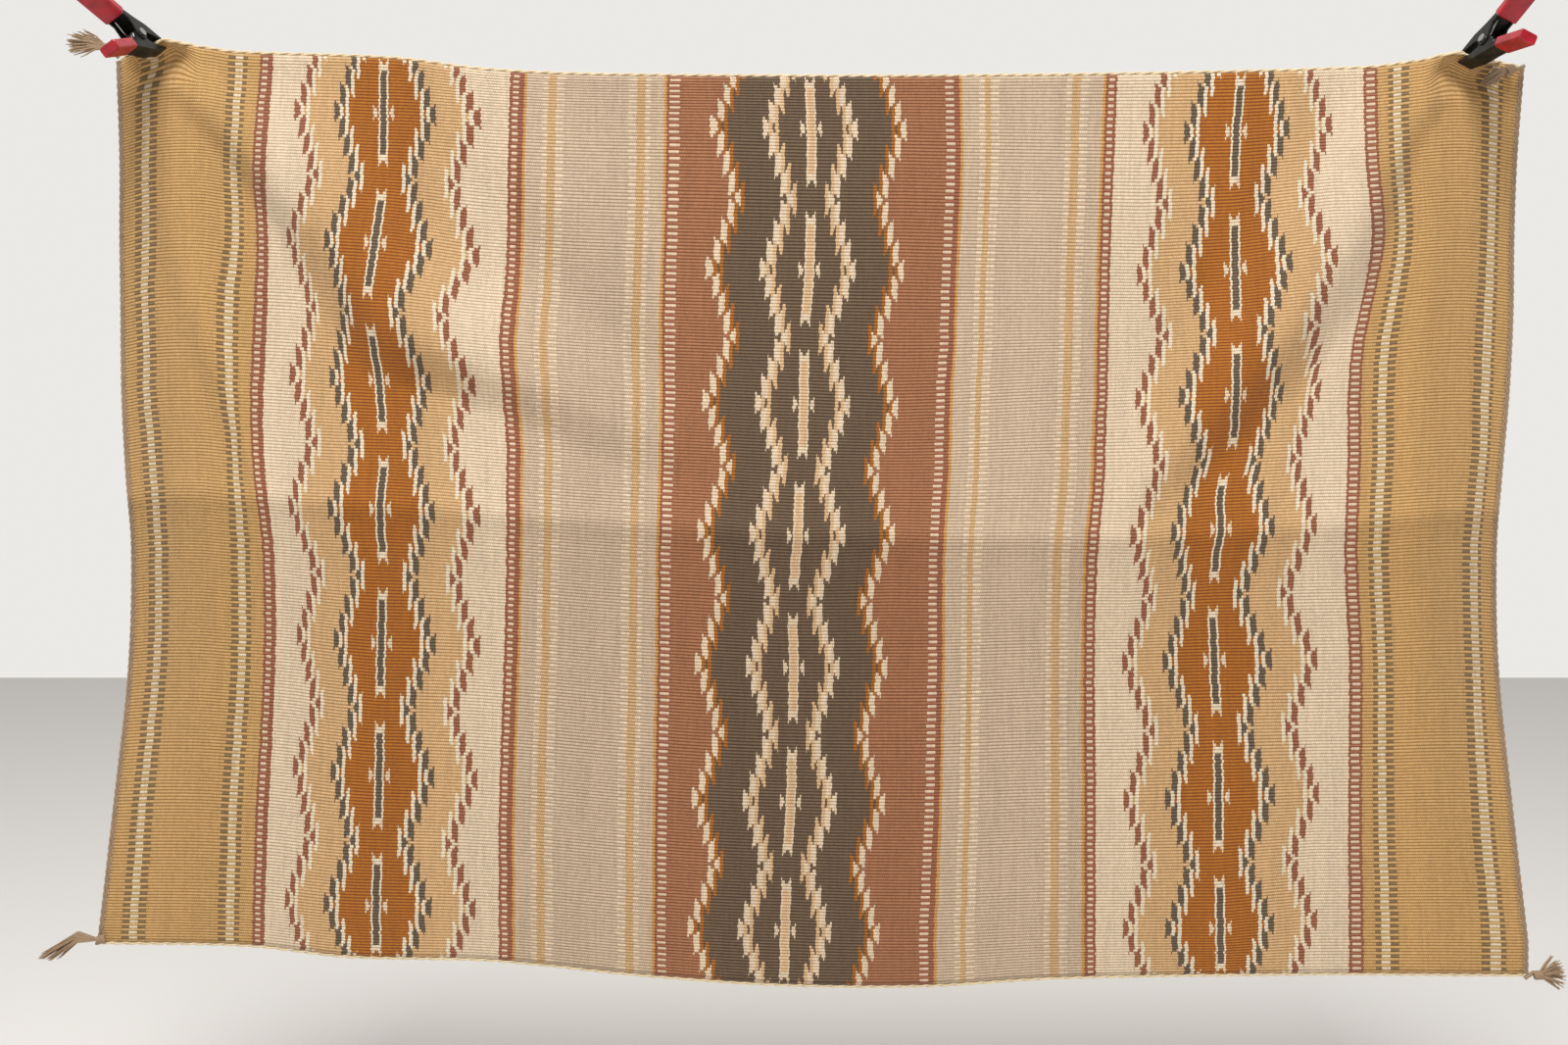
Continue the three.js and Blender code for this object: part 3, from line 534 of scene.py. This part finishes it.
# Each bead of weft passes over one rib and under the next, so beads lie like bricks.
BEAD_LENGTH = 2.1
across_rib = add(tree, "ShaderNodeMath", [warp], operation="FRACT")
from_ridge = add(tree, "ShaderNodeMath", [across_rib, 2, -1], operation="MULTIPLY_ADD")
groove = add(tree, "ShaderNodeMath", [from_ridge, 2], operation="POWER")
half_bead = add(tree, "ShaderNodeMath", [parity, 0.5], operation="MULTIPLY")
bead = add(tree, "ShaderNodeMath", [along, 1 / BEAD_LENGTH, half_bead], operation="MULTIPLY_ADD")
bead_share = add(tree, "ShaderNodeMath", [bead], operation="FRACT")
from_bead = add(tree, "ShaderNodeMath", [bead_share, 2, -1], operation="MULTIPLY_ADD")
dimple = add(tree, "ShaderNodeMath", [from_bead, 2], operation="POWER")
bead_number = add(tree, "ShaderNodeMath", [bead], operation="FLOOR")
bead_place = add(tree, "ShaderNodeCombineXYZ", [bead_number, rib, 0])
bead_chance = add(tree, "ShaderNodeTexWhiteNoise", [bead_place], noise_dimensions="3D")

# Handspun wool takes dye unevenly, so shades change from pick to pick and drift over longer stretches.
# Each bead also differs a little at random. The grooves between ribs and the dimples between beads are
# darkened as painted shade.
STREAK_DOWN = 0.12
down_streak = add(tree, "ShaderNodeMath", [warp, STREAK_DOWN], operation="MULTIPLY")
pick_place = add(tree, "ShaderNodeCombineXYZ", [along, down_streak, 0])
picks = add(tree, "ShaderNodeTexNoise", {"Vector": pick_place, "Scale": 0.35, "Detail": 2})
patches = add(tree, "ShaderNodeTexNoise", {"Vector": pick_place, "Scale": 0.02, "Detail": 3})
shade = 1
for cause, middle, strength in (
    (picks, 0.5, 0.32), (patches, 0.5, 0.24), (bead_chance, 0.5, 0.13), (groove, 0, -0.2),
    (dimple, 0, -0.16),
):
    offset = add(tree, "ShaderNodeMath", [cause, middle], operation="SUBTRACT")
    shade = add(tree, "ShaderNodeMath", [offset, strength, shade], operation="MULTIPLY_ADD")

# Painted shade: the deep grooves between ribs are darkened in the colour itself, strong colours more than
# pale ones, as light that is coloured there by going from wool to wool would darken them.
GROOVE_GAMMA = 0.7
gamma = add(tree, "ShaderNodeMath", [groove, GROOVE_GAMMA, 1], operation="MULTIPLY_ADD")
wool_with_painted_groove_shade = add(tree, "ShaderNodeGamma", {"Color": woven, "Gamma": gamma})
shaded = add(tree, "ShaderNodeVectorMath", {0: wool_with_painted_groove_shade, "Scale": shade}, operation="SCALE")

height = add(tree, "ShaderNodeMath", [groove, -1, 1], operation="MULTIPLY_ADD")
height = add(tree, "ShaderNodeMath", [dimple, -0.3, height], operation="MULTIPLY_ADD")
relief = add(tree, "ShaderNodeBump", {"Strength": 0.8, "Distance": 0.8 * MM, "Height": height})
shader = add(
    tree,
    "ShaderNodeBsdfPrincipled",
    {"Base Color": shaded, "Roughness": 0.95, "Sheen Weight": 0.15, "Sheen Roughness": 0.5, "Normal": relief},
)
add(tree, "ShaderNodeOutputMaterial", [shader])

rug = piece("rug_cloth", bm, wool)
thickness = rug.modifiers.new("thickness", "SOLIDIFY")
thickness.thickness = CLOTH_THICKNESS * MM
thickness.offset = 0
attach(rug, "root")
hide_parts("rug_sheet")

# The long edges: a two-ply cream cord runs along each selvage and shows as slanting cream stitches.
EDGE_CORD_RADIUS = 2.0
EDGE_CORD_SUNK = 0.7
EDGE_YARN = {"orbit": 0.9, "radius": 1.1, "pitch": 28}


def cloth_directions(u, v):
    """The cloth's own directions at a place: along it, down it, and out of its front face."""
    step = 1.5
    right = cloth_middle(min(u + step, RUG_LENGTH), v)
    left = cloth_middle(max(u - step, 0), v)
    lower = cloth_middle(u, min(v + step, RUG_WIDTH))
    upper = cloth_middle(u, max(v - step, 0))
    along = (right - left).normalized()
    down = (lower - upper).normalized()
    return along, down, down.cross(along).normalized()


def yarn_curve(name):
    """A curve for round yarns, whose points have their radius in millimetres."""
    curve = bpy.data.curves.new(name, "CURVE")
    curve.dimensions = "3D"
    curve.bevel_resolution = 1
    curve.bevel_depth = MM
    curve.use_fill_caps = True
    return curve


def twisted(name, route, yarns):
    """A cord of yarns that wind round its route, each with its place, radius, turns and wool."""
    curve = yarn_curve(name)
    distances = [0]
    for before, after in zip(route, route[1:]):
        distances.append(distances[-1] + (after[0] - before[0]).length)
    for yarn in yarns:
        spline = curve.splines.new("POLY")
        spline.points.add(len(route) - 1)
        spline.material_index = yarn["wool"]
        for point, (middle, side, over), distance in zip(spline.points, route, distances):
            angle = 2 * math.pi * (distance / yarn["pitch"] + yarn["phase"])
            centre = middle + side * yarn.get("beside", 0)
            wound = side * math.cos(angle) + over * math.sin(angle)
            point.co = (*((centre + wound * yarn["orbit"]) * MM), 1)
            point.radius = yarn["radius"]
    return placed(name, curve)


def plied_wool(name, code, depth=0.2):
    """Loosely spun wool: fibres show as fine streaks of shade, and the surface is matt and soft."""
    made, tree = material(name)
    place = add(tree, "ShaderNodeTexCoord").outputs["Object"]
    fibres = add(tree, "ShaderNodeTexNoise", {"Vector": place, "Scale": 900, "Detail": 3})
    patches = add(tree, "ShaderNodeTexNoise", {"Vector": place, "Scale": 60, "Detail": 2})
    mixed = add(tree, "ShaderNodeMath", [fibres, patches], operation="ADD")
    shade = add(tree, "ShaderNodeMath", [mixed, 2 * depth, 1 - 2 * depth], operation="MULTIPLY_ADD")
    shaded = add(tree, "ShaderNodeVectorMath", {0: linear(code)[:3], "Scale": shade}, operation="SCALE")
    relief = add(tree, "ShaderNodeBump", {"Strength": 0.5, "Distance": 0.3 * MM, "Height": fibres})
    shader = add(
        tree,
        "ShaderNodeBsdfPrincipled",
        {
            "Base Color": shaded, "Roughness": 0.95, "Sheen Weight": 0.2, "Sheen Roughness": 0.5,
            "Normal": relief,
        },
    )
    add(tree, "ShaderNodeOutputMaterial", [shader])
    return made


cream_yarn = plied_wool("cream_plied_wool", "#dcc8a2")
gold_yarn = plied_wool("gold_plied_wool", "#b98e55")
EDGE_STEP = 3
for name, v, outward in (("top", 0, -1), ("bottom", RUG_WIDTH, 1)):
    route = []
    steps = int(RUG_LENGTH / EDGE_STEP)
    for i in range(steps + 1):
        u = RUG_LENGTH * i / steps
        _, down, out = cloth_directions(u, v)
        middle = cloth_middle(u, v) + down * outward * (EDGE_CORD_RADIUS - EDGE_CORD_SUNK)
        route.append((middle, down, out))
    yarns = [{**EDGE_YARN, "phase": ply / 2, "wool": ply} for ply in (0, 1)]
    cord = twisted(f"edge_yarns_{name}", route, yarns)
    cord.data.materials.append(cream_yarn)
    cord.data.materials.append(gold_yarn)
    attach(cord, "root")
    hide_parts(f"edge_cord_{name}")

# The short ends: two taupe cords, each of two plies, are twined side by side with opposite twist, so the
# plies meet in a herringbone.
END_CORD_RADIUS = 2.8
END_CORD_SUNK = 0.3
END_YARN = {"orbit": 0.75, "radius": 0.95}
END_YARN_BESIDE = 1.3
END_TWIST = 16
END_PLIES = [
    {"side": 1, "phase": 0, "wool": 0}, {"side": 1, "phase": 0.5, "wool": 1},
    {"side": -1, "phase": 0.25, "wool": 0}, {"side": -1, "phase": 0.75, "wool": 2},
]
taupe_yarn = plied_wool("taupe_plied_wool", "#9a8064")
grey_yarn = plied_wool("grey_brown_plied_wool", "#7c664e")
pale_yarn = plied_wool("pale_taupe_plied_wool", "#c0a480")
END_STEP = 2
for name, u, outward in (("left", 0, -1), ("right", RUG_LENGTH, 1)):
    route = []
    steps = int(RUG_WIDTH / END_STEP)
    for i in range(steps + 1):
        v = RUG_WIDTH * i / steps
        along, _, out = cloth_directions(u, v)
        middle = cloth_middle(u, v) + along * outward * (END_CORD_RADIUS - END_CORD_SUNK)
        route.append((middle, along * outward, out))
    yarns = [
        {**END_YARN, **ply, "beside": ply["side"] * END_YARN_BESIDE, "pitch": ply["side"] * END_TWIST}
        for ply in END_PLIES
    ]
    cord = twisted(f"end_yarns_{name}", route, yarns)
    for yarn_material in (taupe_yarn, grey_yarn, pale_yarn):
        cord.data.materials.append(yarn_material)
    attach(cord, "root")
    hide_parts(f"end_cord_{name}")

# The tassels: the cords' ends leave the corners, are knotted together, and fray into loose yarns beyond
# the knot. Places are right, up and out from the corner of the cloth.
TASSELS = [
    {
        "name": "bottom_left", "u": 0, "v": RUG_WIDTH, "start": (0.6, 3.4, 4), "knot": (0.6, 3.4, 6.6),
        "tip": (-64, -16, 4), "knot_radius": 4.6, "rise": 9, "spread": 14, "depth": 8,
        "yarns": 52, "thick": 1,
    },
    {
        "name": "bottom_right", "u": RUG_LENGTH, "v": RUG_WIDTH, "start": (1.4, -4.6, 0),
        "knot": (14, -1, 2), "tip": (41, 0, 2), "knot_radius": 5, "rise": 1, "spread": 33, "depth": 14,
        "yarns": 56, "thick": 1,
    },
    {
        "name": "top_left", "u": 0, "v": 0, "start": (-2.3, 2.5, 0), "knot": (-13, 12, 2),
        "tip": (-54, 18, 4), "knot_radius": 4.6, "rise": 2, "spread": 26, "depth": 12,
        "yarns": 56, "thick": 1,
    },
    {
        "name": "top_right", "u": RUG_LENGTH, "v": 0, "start": (1.6, 0, 6.3), "knot": (-14, -5, 8),
        "tip": (-45, -21, 11), "knot_radius": 5.6, "rise": 3, "spread": 11, "depth": 8,
        "yarns": 26, "thick": 1.7,
    },
]
YARN_RADII = (0.8, 1.0, 0.9, 0.7, 0.35)
FRAY = {"fan": 0.15, "rounding": 0.2, "shorter": 0.18, "bend": 1.5, "stray": 1}
KNOT = {"turns": 3, "steps": 14, "pitch": 2.6, "inset": 2, "radius": 1.9, "neck_radius": 2.2}


def smooth_yarn(curve, count):
    """A yarn that bends smoothly between its first and last points."""
    spline = curve.splines.new("NURBS")
    spline.order_u = 3
    spline.use_endpoint_u = True
    spline.points.add(count - 1)
    return spline


luck = random.Random(7)
for tassel in TASSELS:
    corner = cloth_middle(tassel["u"], tassel["v"])
    start, knot, tip = (
        corner + Vector((right, -out, up))
        for right, up, out in (tassel["start"], tassel["knot"], tassel["tip"])
    )
    reach = tip - knot
    side = Vector((-reach.z, 0, reach.x)).normalized()
    over = Vector((0, -1, 0))
    curve = yarn_curve(f"tassel_yarns_{tassel['name']}")
    for i in range(tassel["yarns"]):
        fan = 2 * i / (tassel["yarns"] - 1) - 1 + luck.uniform(-FRAY["fan"], FRAY["fan"])
        layer = luck.uniform(-0.5, 0.5)
        length = 1 - FRAY["rounding"] * fan * fan - luck.uniform(0, FRAY["shorter"])
        end = knot + reach * length + side * fan * tassel["spread"] / 2
        end += over * layer * tassel["depth"]
        bend = knot.lerp(end, 0.5) + Vector((0, 0, tassel["rise"]))
        bend += side * luck.uniform(-FRAY["bend"], FRAY["bend"])
        stray = over * luck.uniform(-FRAY["stray"], FRAY["stray"])
        places = [knot, knot.lerp(bend, 0.5), bend, bend.lerp(end, 0.6) + stray, end]
        spline = smooth_yarn(curve, len(places))
        spline.material_index = i % 3
        for point, place, radius in zip(spline.points, places, YARN_RADII):
            point.co = (*(place * MM), 1)
            point.radius = radius * tassel["thick"]
    turns, steps = KNOT["turns"], KNOT["steps"]
    axis = reach.normalized()
    first = axis.orthogonal().normalized()
    second = axis.cross(first)
    wraps = smooth_yarn(curve, turns * steps + 2)
    wraps.points[0].co = (*(start * MM), 1)
    wraps.points[0].radius = KNOT["neck_radius"]
    for i, point in enumerate(wraps.points[1:]):
        angle = 2 * math.pi * i / steps
        ring = first * math.cos(angle) + second * math.sin(angle)
        ring *= tassel["knot_radius"] - KNOT["inset"]
        wound = knot + ring + axis * (i / steps - turns / 2) * KNOT["pitch"]
        point.co = (*(wound * MM), 1)
        point.radius = KNOT["radius"]
    obj = placed(curve.name, curve)
    for yarn_material in (taupe_yarn, grey_yarn, pale_yarn):
        curve.materials.append(yarn_material)
    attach(obj, "root")
    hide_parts(f"tassel_{tassel['name']}")

# The clamps: pressed steel levers with an oiled black finish, a bright pin and spring, and handles
# dipped in red vinyl.
black_steel, tree = material("oiled_black_pressed_steel")
place = add(tree, "ShaderNodeTexCoord").outputs["Object"]
wear = add(tree, "ShaderNodeTexNoise", {"Vector": place, "Scale": 120, "Detail": 6, "Roughness": 0.6})
tones = add(tree, "ShaderNodeValToRGB", [wear], [(0.35, linear("#1d1d1b")), (0.7, linear("#3f3e3a"))])
gloss = add(tree, "ShaderNodeMapRange", {"Value": wear, "To Min": 0.35, "To Max": 0.6})
shader = add(
    tree, "ShaderNodeBsdfPrincipled", {"Base Color": tones, "Metallic": 0.7, "Roughness": gloss.outputs[0]}
)
add(tree, "ShaderNodeOutputMaterial", [shader])

bright_steel, tree = material("bright_spring_steel")
place = add(tree, "ShaderNodeTexCoord").outputs["Object"]
drawn = add(tree, "ShaderNodeTexNoise", {"Vector": place, "Scale": 700, "Detail": 3})
gloss = add(tree, "ShaderNodeMapRange", {"Value": drawn, "To Min": 0.22, "To Max": 0.4})
shader = add(
    tree,
    "ShaderNodeBsdfPrincipled",
    {"Base Color": linear("#a8a8a4"), "Metallic": 1, "Roughness": gloss.outputs[0]},
)
add(tree, "ShaderNodeOutputMaterial", [shader])

red_vinyl, tree = material("dipped_red_vinyl")
place = add(tree, "ShaderNodeTexCoord").outputs["Object"]
drips = add(tree, "ShaderNodeTexNoise", {"Vector": place, "Scale": 90, "Detail": 2})
tones = add(tree, "ShaderNodeValToRGB", [drips], [(0.3, linear("#8e0f1c")), (0.7, linear("#b81a2b"))])
relief = add(tree, "ShaderNodeBump", {"Strength": 0.3, "Distance": 0.5 * MM, "Height": drips})
shader = add(
    tree,
    "ShaderNodeBsdfPrincipled",
    {"Base Color": tones, "Roughness": 0.28, "IOR": 1.53, "Normal": relief},
)
add(tree, "ShaderNodeOutputMaterial", [shader])

for clamp in CLAMPS:
    for part, finish in (
        ("front_lever", black_steel), ("back_lever", black_steel), ("pin", bright_steel),
        ("spring", bright_steel), ("front_grip", red_vinyl), ("back_grip", red_vinyl),
    ):
        node = bpy.data.objects[f"clamp_{clamp['name']}_{part}"]
        node.data.materials.clear()
        node.data.materials.append(finish)

# A plain pale floor under the rug, and soft studio light. The room is pale and bright behind the rug and
# dimmer in front of it, so most of the light comes from a large lamp high in front.
floor_paint, tree = material("pale_matt_floor")
shader = add(tree, "ShaderNodeBsdfPrincipled", {"Base Color": linear("#e6e3df"), "Roughness": 0.9})
add(tree, "ShaderNodeOutputMaterial", [shader])
FLOOR = {"half_size": 6, "height": -1.25}
bm = bmesh.new()
bmesh.ops.create_grid(bm, x_segments=1, y_segments=1, size=FLOOR["half_size"])
bmesh.ops.translate(bm, verts=bm.verts, vec=(0, 0, FLOOR["height"]))
floor = piece("floor", bm, floor_paint)

world = bpy.data.worlds.new("pale_room")
world.use_nodes = True
tree = world.node_tree
facing = add(tree, "ShaderNodeTexCoord").outputs["Generated"]
behind = add(tree, "ShaderNodeSeparateXYZ", [facing]).outputs["Y"]
ROOM = {"From Min": -0.2, "From Max": 0.4, "To Min": 0.32, "To Max": 0.92}
strength = add(tree, "ShaderNodeMapRange", {"Value": behind, **ROOM})
tree.nodes["Background"].inputs["Color"].default_value = linear("#f4f2ef")
tree.links.new(strength.outputs[0], tree.nodes["Background"].inputs["Strength"])
bpy.context.scene.world = world
LIT_PLACE = Vector((0, 0, -0.5))
LIGHTS = [
    ("key", (-0.3, -2.4, 3.4), 1.6, 215),
    ("fill", (0.6, -3.0, 0.2), 2.0, 10),
]
for name, place, size, power in LIGHTS:
    lamp = bpy.data.lights.new(name, "AREA")
    lamp.size = size
    lamp.energy = power
    obj = placed(name, lamp)
    obj.location = place
    obj.rotation_euler = (LIT_PLACE - Vector(place)).to_track_quat("-Z", "Y").to_euler()
bpy.context.scene.view_settings.view_transform = "Standard"

# The camera stands level with the middle of the rug and looks straight at it.
lens = bpy.data.cameras.new("camera")
lens.lens = 35
lens.sensor_width = 36
camera = placed("camera", lens)
camera.location = Vector((EYE["x"], -EYE["distance"], -EYE["down"])) * MM
camera.rotation_euler = (math.pi / 2, 0, 0)
bpy.context.scene.camera = camera
